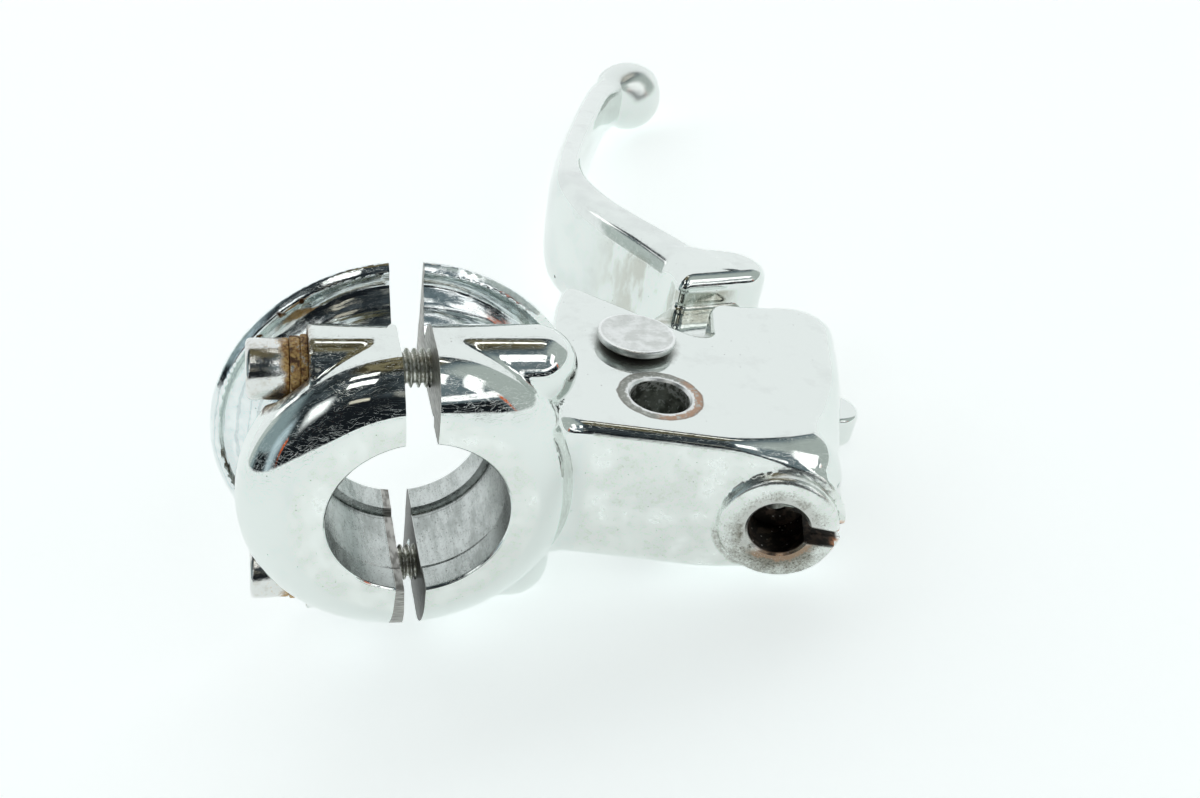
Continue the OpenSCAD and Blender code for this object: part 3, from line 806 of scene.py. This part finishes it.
def mirrorHoleLook(f, uneven, top):
    # a worn ring, grey to copper, with a flaking rim, and a stained inside
    hole, flake = f.away(f.x, f.y, housing["mirror"]), f.noise(1.3, 5.0, 0.7)
    copper = f.ramp(f.x * 0.8 - f.y * 0.6 + (uneven - 0.5) * 6.0, 22.4, 24.6)
    worn = f.mix(copper, (0.27, 0.28, 0.255), (0.42, 0.27, 0.19))
    worn = f.mix(f.ramp(flake, 0.50, 0.62), worn, (0.46, 0.47, 0.44))
    worn = f.mix(f.ramp(hole + (uneven - 0.5) * 0.8, 6.0, 6.6) * 0.7, worn, (0.17, 0.155, 0.135))
    worn = f.mix(f.ramp(hole + (flake - 0.5) * 2.0, 5.35, 5.1), worn, (0.78, 0.80, 0.79))
    f.paint(f.ramp(hole + (uneven - 0.5) * 0.7, 6.65, 6.4) * top, worn, 0.34)
    stained = f.mix(f.ramp(f.noise(0.6, 5.0), 0.42, 0.6), (0.20, 0.205, 0.18), (0.46, 0.47, 0.43))
    stained = f.mix(f.ramp(flake + f.ramp(f.z, 9.0, 11.6) * 0.10, 0.56, 0.62), stained, (0.85, 0.86, 0.84))
    f.paint(f.ramp(hole, 4.75, 4.6) * f.ramp(f.z, 12.0, 11.8), stained, 0.5)


def cableSeatLook(f, uneven, wall, clear, along, across, dz, reach):
    # ground face with grime and painted shade, a worn lip, a dark hole and slit, and copper at the slit's
    # tips
    front = f.ramp(along, 1.2, 0.7) * f.ramp(reach, 9.8, 9.3)
    satinLook(f, front * f.ramp(f.x, 38.0, 39.0))
    speckle, mist = f.noise(3.2, 5.0, 0.75), f.noise(0.45, 4.0, 0.65)
    # painted shade: darker low down and towards the hole, mixed into the grime and its dark specks
    shade = f.ramp(f.z, 2.0, -9.5) * 0.22 + f.ramp(reach, 8.2, 5.2) * 0.20
    grimeAndShade = f.ramp(speckle * 0.55 + mist * 0.45 + shade, 0.50, 0.86) * f.ramp(along, 3.4, 2.4)
    f.paint(grimeAndShade * f.ramp(reach, 10.4, 9.6) * clear * 0.9, (0.22, 0.21, 0.17))
    f.paint(f.ramp(speckle + shade * 0.5, 0.68, 0.74) * front * clear * 0.7, (0.07, 0.065, 0.055))
    lip = f.mix(f.ramp(dz - across * 0.4, -2.6, -4.2), (0.60, 0.61, 0.58), (0.34, 0.22, 0.14))
    lip = f.mix(f.ramp(speckle, 0.56, 0.64), lip, (0.74, 0.74, 0.71))
    lipEdge = reach + (mist - 0.5) * 5.0 + (speckle - 0.5) * 1.5
    f.paint(f.ramp(lipEdge, 6.1, 5.4) * f.ramp(along, 0.9, 0.5) * 0.8, lip)
    slit = f.ramp(abs(dz), 1.75, 1.55) * f.ramp(across, 2.0, 3.0) * f.ramp(reach, 9.6, 9.0)
    slit = slit * f.ramp(wall, 3.0, 2.0)
    hollow = (f.ramp(reach, 4.75, 4.5) * f.ramp(along, 0.15, 0.5) * f.ramp(along, 14.0, 12.0)).largest(slit)
    soot = f.mix(f.ramp(f.noise(0.7, 4.0), 0.45, 0.6), (0.030, 0.026, 0.022), (0.115, 0.085, 0.065))
    f.paint(hollow, f.mix(f.specks(1.3, 0.24, 0.35), soot, (0.66, 0.66, 0.63)), 0.5)
    tips = f.ramp(abs(dz), 2.3, 1.7) * f.ramp(reach, 8.0, 8.8) * f.ramp(across, 6.0, 7.0)
    tips = tips * f.ramp(along, 3.0, 1.6)
    f.paint(tips * f.ramp(uneven, 0.40, 0.52), tone["copper"])


def makeBracketFinish():
    f = chromeFinish("bracketChrome")
    rho, dish, bore = clampMasks(f)
    wall = (f.x - wallAt[0]) * wallOut[0] + (f.y - wallAt[1]) * wallOut[1]
    clear = f.ramp(f.x, 23.5, 24.5)
    ground = f.ramp(f.y, 0.14, 0.03) * f.ramp(f.x, 25.0, 24.0)
    satinLook(f, ground.largest(f.ramp(wall, -0.32, -0.08) * clear))
    dishLook(f, dish * f.ramp(f.x, 19.0, 18.0), rho)
    uneven, top = f.noise(0.5, 4.0, 0.6), f.ramp(f.z, 11.4, 12.0)
    mirrorHoleLook(f, uneven, top)
    pin = f.away(f.x, f.y, housing["pivot"])
    # a dark ring round the pin's head on the top face: grime, and painted shadow of the head
    f.paint(f.ramp(pin + (uneven - 0.5) * 1.6, 7.8, 5.9) * top, (0.16, 0.16, 0.145), 0.4, 0.6)
    dx, dy, dz = (a - b for a, b in zip((f.x, f.y, f.z), housing["boss"]))
    along = dx * alongBoss[0] + dy * alongBoss[1]
    across = dx * frontward[0] + dy * frontward[1]
    reach = (across ** 2.0 + dz ** 2.0) ** 0.5
    cableSeatLook(f, uneven, wall, clear, along, across, dz, reach)
    # the lever's slot stays as cast
    slot = f.ramp(abs(f.z - leverSize["middle"]), 5.6, 5.45) * f.ramp(wall, -0.7, -1.1)
    castLook(f, slot * f.ramp(across - housing["bossR"], -0.7, -1.1) * clear * f.ramp(reach, 9.4, 9.9))
    castLook(f, bore * f.ramp(f.x, 1.66, 1.75))
    sawnLook(f, f.ramp(f.x, 1.68, 1.62))
    return f.applied(castingBump)


def makeCapFinish():
    f = chromeFinish("capChrome")
    rho, dish, bore = clampMasks(f)
    satinLook(f, f.ramp(f.y, 0.14, 0.03))
    dishLook(f, dish, rho)
    # rust spots in the dish, and rust washed down from the screws' heads
    uneven = f.noise(0.9, 4.0, 0.65)
    rust = f.mix(f.ramp(uneven, 0.40, 0.62), tone["deepRust"], (0.42, 0.27, 0.12))
    spots = 0.0
    for x, z, size in ((-17.6, 19.6, 0.75), (-15.1, 21.8, 0.55), (-20.6, 16.2, 0.5)):
        spots = f.ramp(f.away(f.x, f.z, (x, z)) + (uneven - 0.5) * 2.4, size, size * 0.2) + spots
    f.paint(spots.smallest(1.0) * dish, rust, 0.6)
    head = f.away(f.y, abs(f.z), (clampSize["screwY"], clampSize["screwZ"]))
    seat = f.ramp(head + (uneven - 0.5) * 2.5, 6.3, 5.0) * f.ramp(f.x, -13.6, -14.4)
    f.paint(seat, rust, 0.6, 0.8)
    lean = math.radians(clampSize["capLean"])
    inward = f.x * math.cos(lean) - f.z * math.sin(lean)
    castLook(f, bore * f.ramp(inward, -2.05, -2.2))
    sawnLook(f, f.ramp(inward, -2.08, -2.02))
    return f.applied(castingBump)


def makeLeverFinish():
    f = chromeFinish("leverChrome")
    # hub and arm between the housing's plates: rougher, and painted darker as shade
    hub = f.ramp(f.away(f.x, f.y, housing["pivot"]), 9.5, 8.5)
    hub = hub.largest(f.ramp(f.y, 42.0, 38.0) * f.ramp(f.x, 66.0, 62.0))
    f.paint(hub, f.mix(f.ramp(f.noise(0.8, 4.0), 0.4, 0.62), (0.24, 0.23, 0.21), (0.50, 0.50, 0.48)), 0.40)
    # a nick low on the blade, then a film and stains towards the shoulder
    nick = f.away(f.y, f.z, (88.1, -8.1)) + f.noise(1.2) * 0.5
    f.paint(f.ramp(nick, 0.75, 0.45) * f.ramp(f.x, 46.0, 45.0), (0.10, 0.10, 0.09), 0.6)
    film = f.ramp(f.noise(0.10, 3.0), 0.45, 0.65) * f.ramp(f.y, 58.0, 66.0) * f.ramp(f.y, 110.0, 96.0)
    f.paint(film * 0.4, (0.62, 0.65, 0.64))
    f.rough = f.rough + film * 0.05
    stain = f.ramp(f.noise(0.13, 4.0, 0.6, (1.0, 1.4, 0.6)), 0.42, 0.60) * f.ramp(f.y, 80.0, 64.0)
    stain = stain * f.ramp(f.z, 9.8, 7.5) * f.ramp(f.y, 50.5, 54.0) * f.ramp(f.x, 62.0, 56.0)
    f.paint(stain * 0.7, (0.50, 0.50, 0.44))
    # the shoulder's front face is darker, with pale patches: painted reflection of the dim room
    front = f.ramp(f.y, 52.4, 51.6) * f.ramp(f.y, 44.0, 46.0) * f.ramp(f.z, 8.9, 8.2)
    reflectionPatches = f.ramp(f.noise(0.22, 4.0, 0.6, (1.0, 1.0, 0.5)), 0.40, 0.60)
    f.paint(front * 0.85, f.mix(reflectionPatches, (0.40, 0.40, 0.34), (0.70, 0.73, 0.69)))
    f.rough = f.blend(f.ramp(f.y, 168.0, 174.0), f.rough, 0.26)  # the ball is worn dull
    return f.applied(castingBump)


def makeScrewFinish():
    f = Finish("screwSteel")
    cloud, fine = f.noise(0.7, 4.0, 0.6), f.noise(2.6, 4.0, 0.6)
    shank, head = f.ramp(f.x, -16.4, -15.6), f.ramp(f.x, -15.8, -16.4)
    f.colour = f.mix(f.ramp(cloud, 0.5, 0.7) * 0.5, (0.74, 0.75, 0.73), (0.52, 0.50, 0.44))
    f.rough = 0.08 + cloud * 0.10
    f.height = fine * 0.5 + cloud * 0.5
    f.paint(shank, f.mix(f.ramp(fine, 0.36, 0.60), (0.34, 0.335, 0.28), (0.72, 0.73, 0.68)), 0.34)
    skirt = f.ramp(f.x + (cloud - 0.5) * 2.6, -18.6, -17.4) * head
    rust = f.mix(f.ramp(fine, 0.38, 0.60), tone["rust"], tone["gold"])
    f.paint(skirt, f.mix(f.ramp(cloud, 0.56, 0.70), rust, tone["deepRust"]), 0.5)
    drip = f.ramp(fine, 0.60, 0.68) * f.ramp(f.x, -22.6, -17.0) * head
    f.paint(drip, tone["gold"], 0.4, 0.7)
    # dark at the mouth of the hex socket: painted shade
    hexagon = f.away(f.y, abs(f.z), (clampSize["screwY"], clampSize["screwZ"]))
    f.paint(f.ramp(hexagon, 2.4, 2.25) * f.ramp(f.x, -22.0, -22.3), tone["dark"], 0.6)
    return f.applied(0.00006, f.blend(skirt * 0.8, 1.0, 0.25))


def makeWasherFinish():
    f = Finish("washerRust")
    cloud, f.height = f.noise(0.8, 4.0, 0.65), f.noise(2.4, 4.0, 0.6)
    f.colour = f.mix(f.ramp(f.height, 0.36, 0.60), tone["rust"], tone["gold"])
    f.paint(f.ramp(cloud, 0.50, 0.64), tone["deepRust"])
    bare = f.ramp(cloud, 0.44, 0.34)
    f.rough = 0.6
    f.paint(bare, (0.60, 0.58, 0.52), 0.25)
    return f.applied(0.00010, f.blend(bare, 0.15, 1.0))


def makePinFinish():
    f = Finish("pinSatin")
    cloud, grain = f.noise(0.35, 5.0, 0.65), f.noise(1.8, 4.0, 0.6, (1.0, 3.0, 1.0))
    f.colour = f.mix(f.ramp(cloud, 0.38, 0.64), (0.60, 0.62, 0.60), (0.80, 0.82, 0.81))
    f.paint(f.ramp(grain, 0.58, 0.74) * 0.45, (0.40, 0.39, 0.35))
    # dark below the head, on the neck and shank: painted shade under the head
    f.paint(f.ramp(f.z, 12.95, 12.75), (0.16, 0.15, 0.13))
    # a brighter, smoother band round the head's top edge: painted highlight
    edge = f.band(f.away(f.x, f.y, housing["pivot"]), 5.75, 6.15, 0.08) * f.ramp(f.z, 13.7, 13.9)
    f.paint(edge * 0.7, (0.88, 0.90, 0.89))
    f.rough = f.blend(edge, f.blend(f.ramp(f.z, 14.1, 13.9), 0.20 + cloud * 0.22, 0.42), 0.10)
    f.height = grain * 0.3 + cloud * 0.5
    return f.applied(0.00006)


def makeSmallFinish(name, bright, dull, rough):
    f = Finish(name)
    cloud, f.height = f.noise(0.6, 4.0, 0.6), f.noise(2.2, 4.0, 0.6)
    f.colour = f.mix(f.ramp(cloud, 0.36, 0.64), bright, dull)
    f.paint(f.specks(1.3, 0.18, 0.2) * 0.8, tone["dark"])
    f.rough = rough + f.height * 0.18
    return f.applied(0.00004)


makeBracket(makeBracketFinish())
makeCap(makeCapFinish())
makeLever(makeLeverFinish())
print("castings made")


# screws, washers and pin

screwSize = {"radius": 2.745, "pitch": 1.058, "depth": 0.62, "head": 4.115, "headAt": -17.0, "headTall": 5.49,
             "tip": 15.0, "thread": 19.0, "socket": 3.97, "socketDeep": 3.0}


def threadTree():
    # a rod whose side is pulled in along a helix
    tree = bpy.data.node_groups.new("threadMaker", "GeometryNodeTree")
    keys = {}
    for name in ("radius", "length", "pitch", "depth", "material"):
        kind = "NodeSocketMaterial" if name == "material" else "NodeSocketFloat"
        keys[name] = tree.interface.new_socket(name=name, in_out="INPUT", socket_type=kind).identifier
    tree.interface.new_socket(name="thread", in_out="OUTPUT", socket_type="NodeSocketGeometry")
    entry = tree.nodes.new("NodeGroupInput")
    given = {name: Wire(tree, entry.outputs[name]) for name in keys}
    rod = addNode(tree, "GeometryNodeMeshCylinder", {"fill_type": "NGON"},
                  {"Vertices": 72, "Side Segments": 288, "Radius": given["radius"], "Depth": given["length"]})
    point = addNode(tree, "GeometryNodeInputPosition")
    x, y, z = (addNode(tree, "ShaderNodeSeparateXYZ", {}, {0: point}, output=i) for i in range(3))
    turn = y.sum("ARCTAN2", x) / (2 * math.pi)
    phase = (z / given["pitch"] - turn).sum("FRACT")
    groove = ramp(tree, abs(phase - 0.5), 0.44, 0.10)
    ends = ramp(tree, abs(z), given["length"] * 0.5, given["length"] * 0.5 - given["pitch"])
    pull = groove * given["depth"] * ends / given["radius"] * -1.0
    move = addNode(tree, "ShaderNodeCombineXYZ", {}, {0: x * pull, 1: y * pull})
    shaped = addNode(tree, "GeometryNodeSetPosition", {}, {"Geometry": rod, "Offset": move})
    whole = addNode(tree, "GeometryNodeRealizeInstances", {}, {0: shaped})
    painted = addNode(tree, "GeometryNodeSetMaterial", {}, {0: whole, "Material": given["material"]})
    leave = tree.nodes.new("NodeGroupOutput")
    tree.links.new(painted.socket, leave.inputs[0])
    return tree, keys


def makeScrew(name, node, up, twist, material, tree, keys):
    z = screwSize
    y, x0 = clampSize["screwY"], z["headAt"]
    rod = newPiece(name + "Rod", [(0, 0, 0), (1, 0, 0), (0, 1, 0)], [(0, 1, 2)])
    step = rod.modifiers.new("thread", "NODES")
    step.node_group = tree
    for key, value in (("radius", z["radius"] * mm), ("length", z["thread"] * mm), ("pitch", z["pitch"] * mm),
                       ("depth", z["depth"] * mm), ("material", material)):
        step[keys[key]] = value
    solidResult(rod)
    centre = Vector((z["tip"] - z["thread"] / 2, y, up * clampSize["screwZ"])) * mm
    placed(rod, Matrix.Translation(centre) @ Matrix.Rotation(math.radians(twist), 4, "X")
           @ Matrix.Rotation(math.pi / 2, 4, "Y"))
    r, h, top = z["radius"] - 0.03, z["head"], x0 - z["headTall"]
    profile = [(0, top), (h - 0.75, top), (h - 0.45, top + 0.06), (h - 0.15, top + 0.28), (h, top + 0.65),
               (h, x0 - 0.25), (h - 0.1, x0 - 0.06), (h - 0.3, x0), (r + 0.25, x0), (r + 0.05, x0 + 0.1),
               (r, x0 + 0.35), (r, -3.6), (r - 0.5, -3.2), (0, -3.2)]
    piece = turned(name, profile, (0, y, up * clampSize["screwZ"]), (1, 0, 0), 96)
    corner = z["socket"] / 2 / math.cos(math.pi / 6)
    hexagon = [(corner * math.cos(math.pi * i / 3), corner * math.sin(math.pi * i / 3)) for i in range(6)]
    socket = plate(name + "Socket", hexagon, -1, z["socketDeep"])
    placed(socket, Matrix.Translation(Vector((top, y, up * clampSize["screwZ"])) * mm)
           @ Matrix.Rotation(math.radians(twist), 4, "X") @ Matrix.Rotation(math.pi / 2, 4, "Y"))
    mouth = turned(name + "Mouth", [(0, -1), (3.2, -1), (1.9, 0.45), (0, 0.45)],
                   (top, y, up * clampSize["screwZ"]), (1, 0, 0), 64)
    cut(piece, [socket, mouth])
    cut(piece, [rod], "UNION")
    shaded(piece, 35)
    return finishPiece(piece, node.replace("clamp_", ""), "screw_steel", material, node)


def makeWasher(name, node, up, inner, outer, start, thick, material, splitTurn=None):
    y, height = clampSize["screwY"], up * clampSize["screwZ"]
    end, bevel = start + thick, 0.16
    profile = [(inner + bevel, start), (outer - bevel, start), (outer, start + bevel), (outer, end - bevel),
               (outer - bevel, end), (inner + bevel, end), (inner, end - bevel), (inner, start + bevel),
               (inner + bevel, start)]
    piece = turned(name, profile, (0, y, height), (1, 0, 0), 96)
    if splitTurn is not None:
        gap = boxCutter(name + "Gap", (-4, -0.35, 0), (4, 0.35, 9))
        placed(gap, Matrix.Translation(Vector((start + thick / 2, y, height)) * mm)
               @ Matrix.Rotation(math.radians(splitTurn), 4, "X") @ Matrix.Rotation(math.radians(25), 4, "Z"))
        cut(piece, [gap])
    shaded(piece, 35)
    return finishPiece(piece, "cap", "washer_steel", material, node)


pinSize = {"radius": 3.97, "groove": 3.0, "head": 6.28, "headTall": 2.0, "tail": 1.3}


def makePin(material):
    r, groove, head = pinSize["radius"], pinSize["groove"], pinSize["head"]
    top = housing["top"] + pinSize["headTall"]
    low = housing["bottom"] - pinSize["tail"]
    profile = [(0, low - 1.6), (3.2, low - 1.6), (r, low - 0.9), (r, low), (groove, low), (groove, low + 1.1),
               (r, low + 1.1), (r, housing["top"] - 0.3), (5.0, housing["top"] + 0.02), (5.3, top - 1.75),
               (5.75, top - 1.35), (6.15, top - 1.1), (head, top - 0.85), (head, top - 0.30),
               (6.2, top - 0.12), (5.98, top - 0.02), (5.6, top), (5.3, top - 0.06), (3.0, top - 0.03),
               (0, top)]
    piece = turned("pivotPin", profile, (*housing["pivot"], 0), (0, 0, 1), 128)
    shaded(piece, 30)
    return finishPiece(piece, "housing", "pin_steel", material, "pivot_pin")


screwFinish, washerFinish = makeScrewFinish(), makeWasherFinish()
maker, makerKeys = threadTree()
makeScrew("upperScrew", "clamp_screw_upper", 1, 18, screwFinish, maker, makerKeys)
makeScrew("lowerScrew", "clamp_screw_lower", -1, 40, screwFinish, maker, makerKeys)
bpy.data.node_groups.remove(maker)
for word, up, turnBy in (("upper", 1, -25), ("lower", -1, 140)):
    makeWasher(word + "FlatWasher", "flat_washer_" + word, up, 2.945, 4.6, -15.55, 0.93, washerFinish)
    makeWasher(word + "LockWasher", "lock_washer_" + word, up, 2.945, 4.4, -16.96, 1.39, washerFinish, turnBy)
makePin(makePinFinish())
for node, finish in (("pivot_bushing", ("bushingBronze", (0.50, 0.34, 0.17), (0.30, 0.20, 0.11), 0.28)),
                     ("pin_clip", ("clipOiled", (0.16, 0.16, 0.155), (0.32, 0.32, 0.31), 0.25)),
                     ("cable_anchor", ("anchorSatin", (0.58, 0.59, 0.57), (0.36, 0.34, 0.30), 0.24))):
    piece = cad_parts[node]
    piece.data.materials.clear()
    piece.data.materials.append(makeSmallFinish(*finish))
print("small pieces made")

scene = bpy.context.scene
scene.view_settings.view_transform = "Standard"
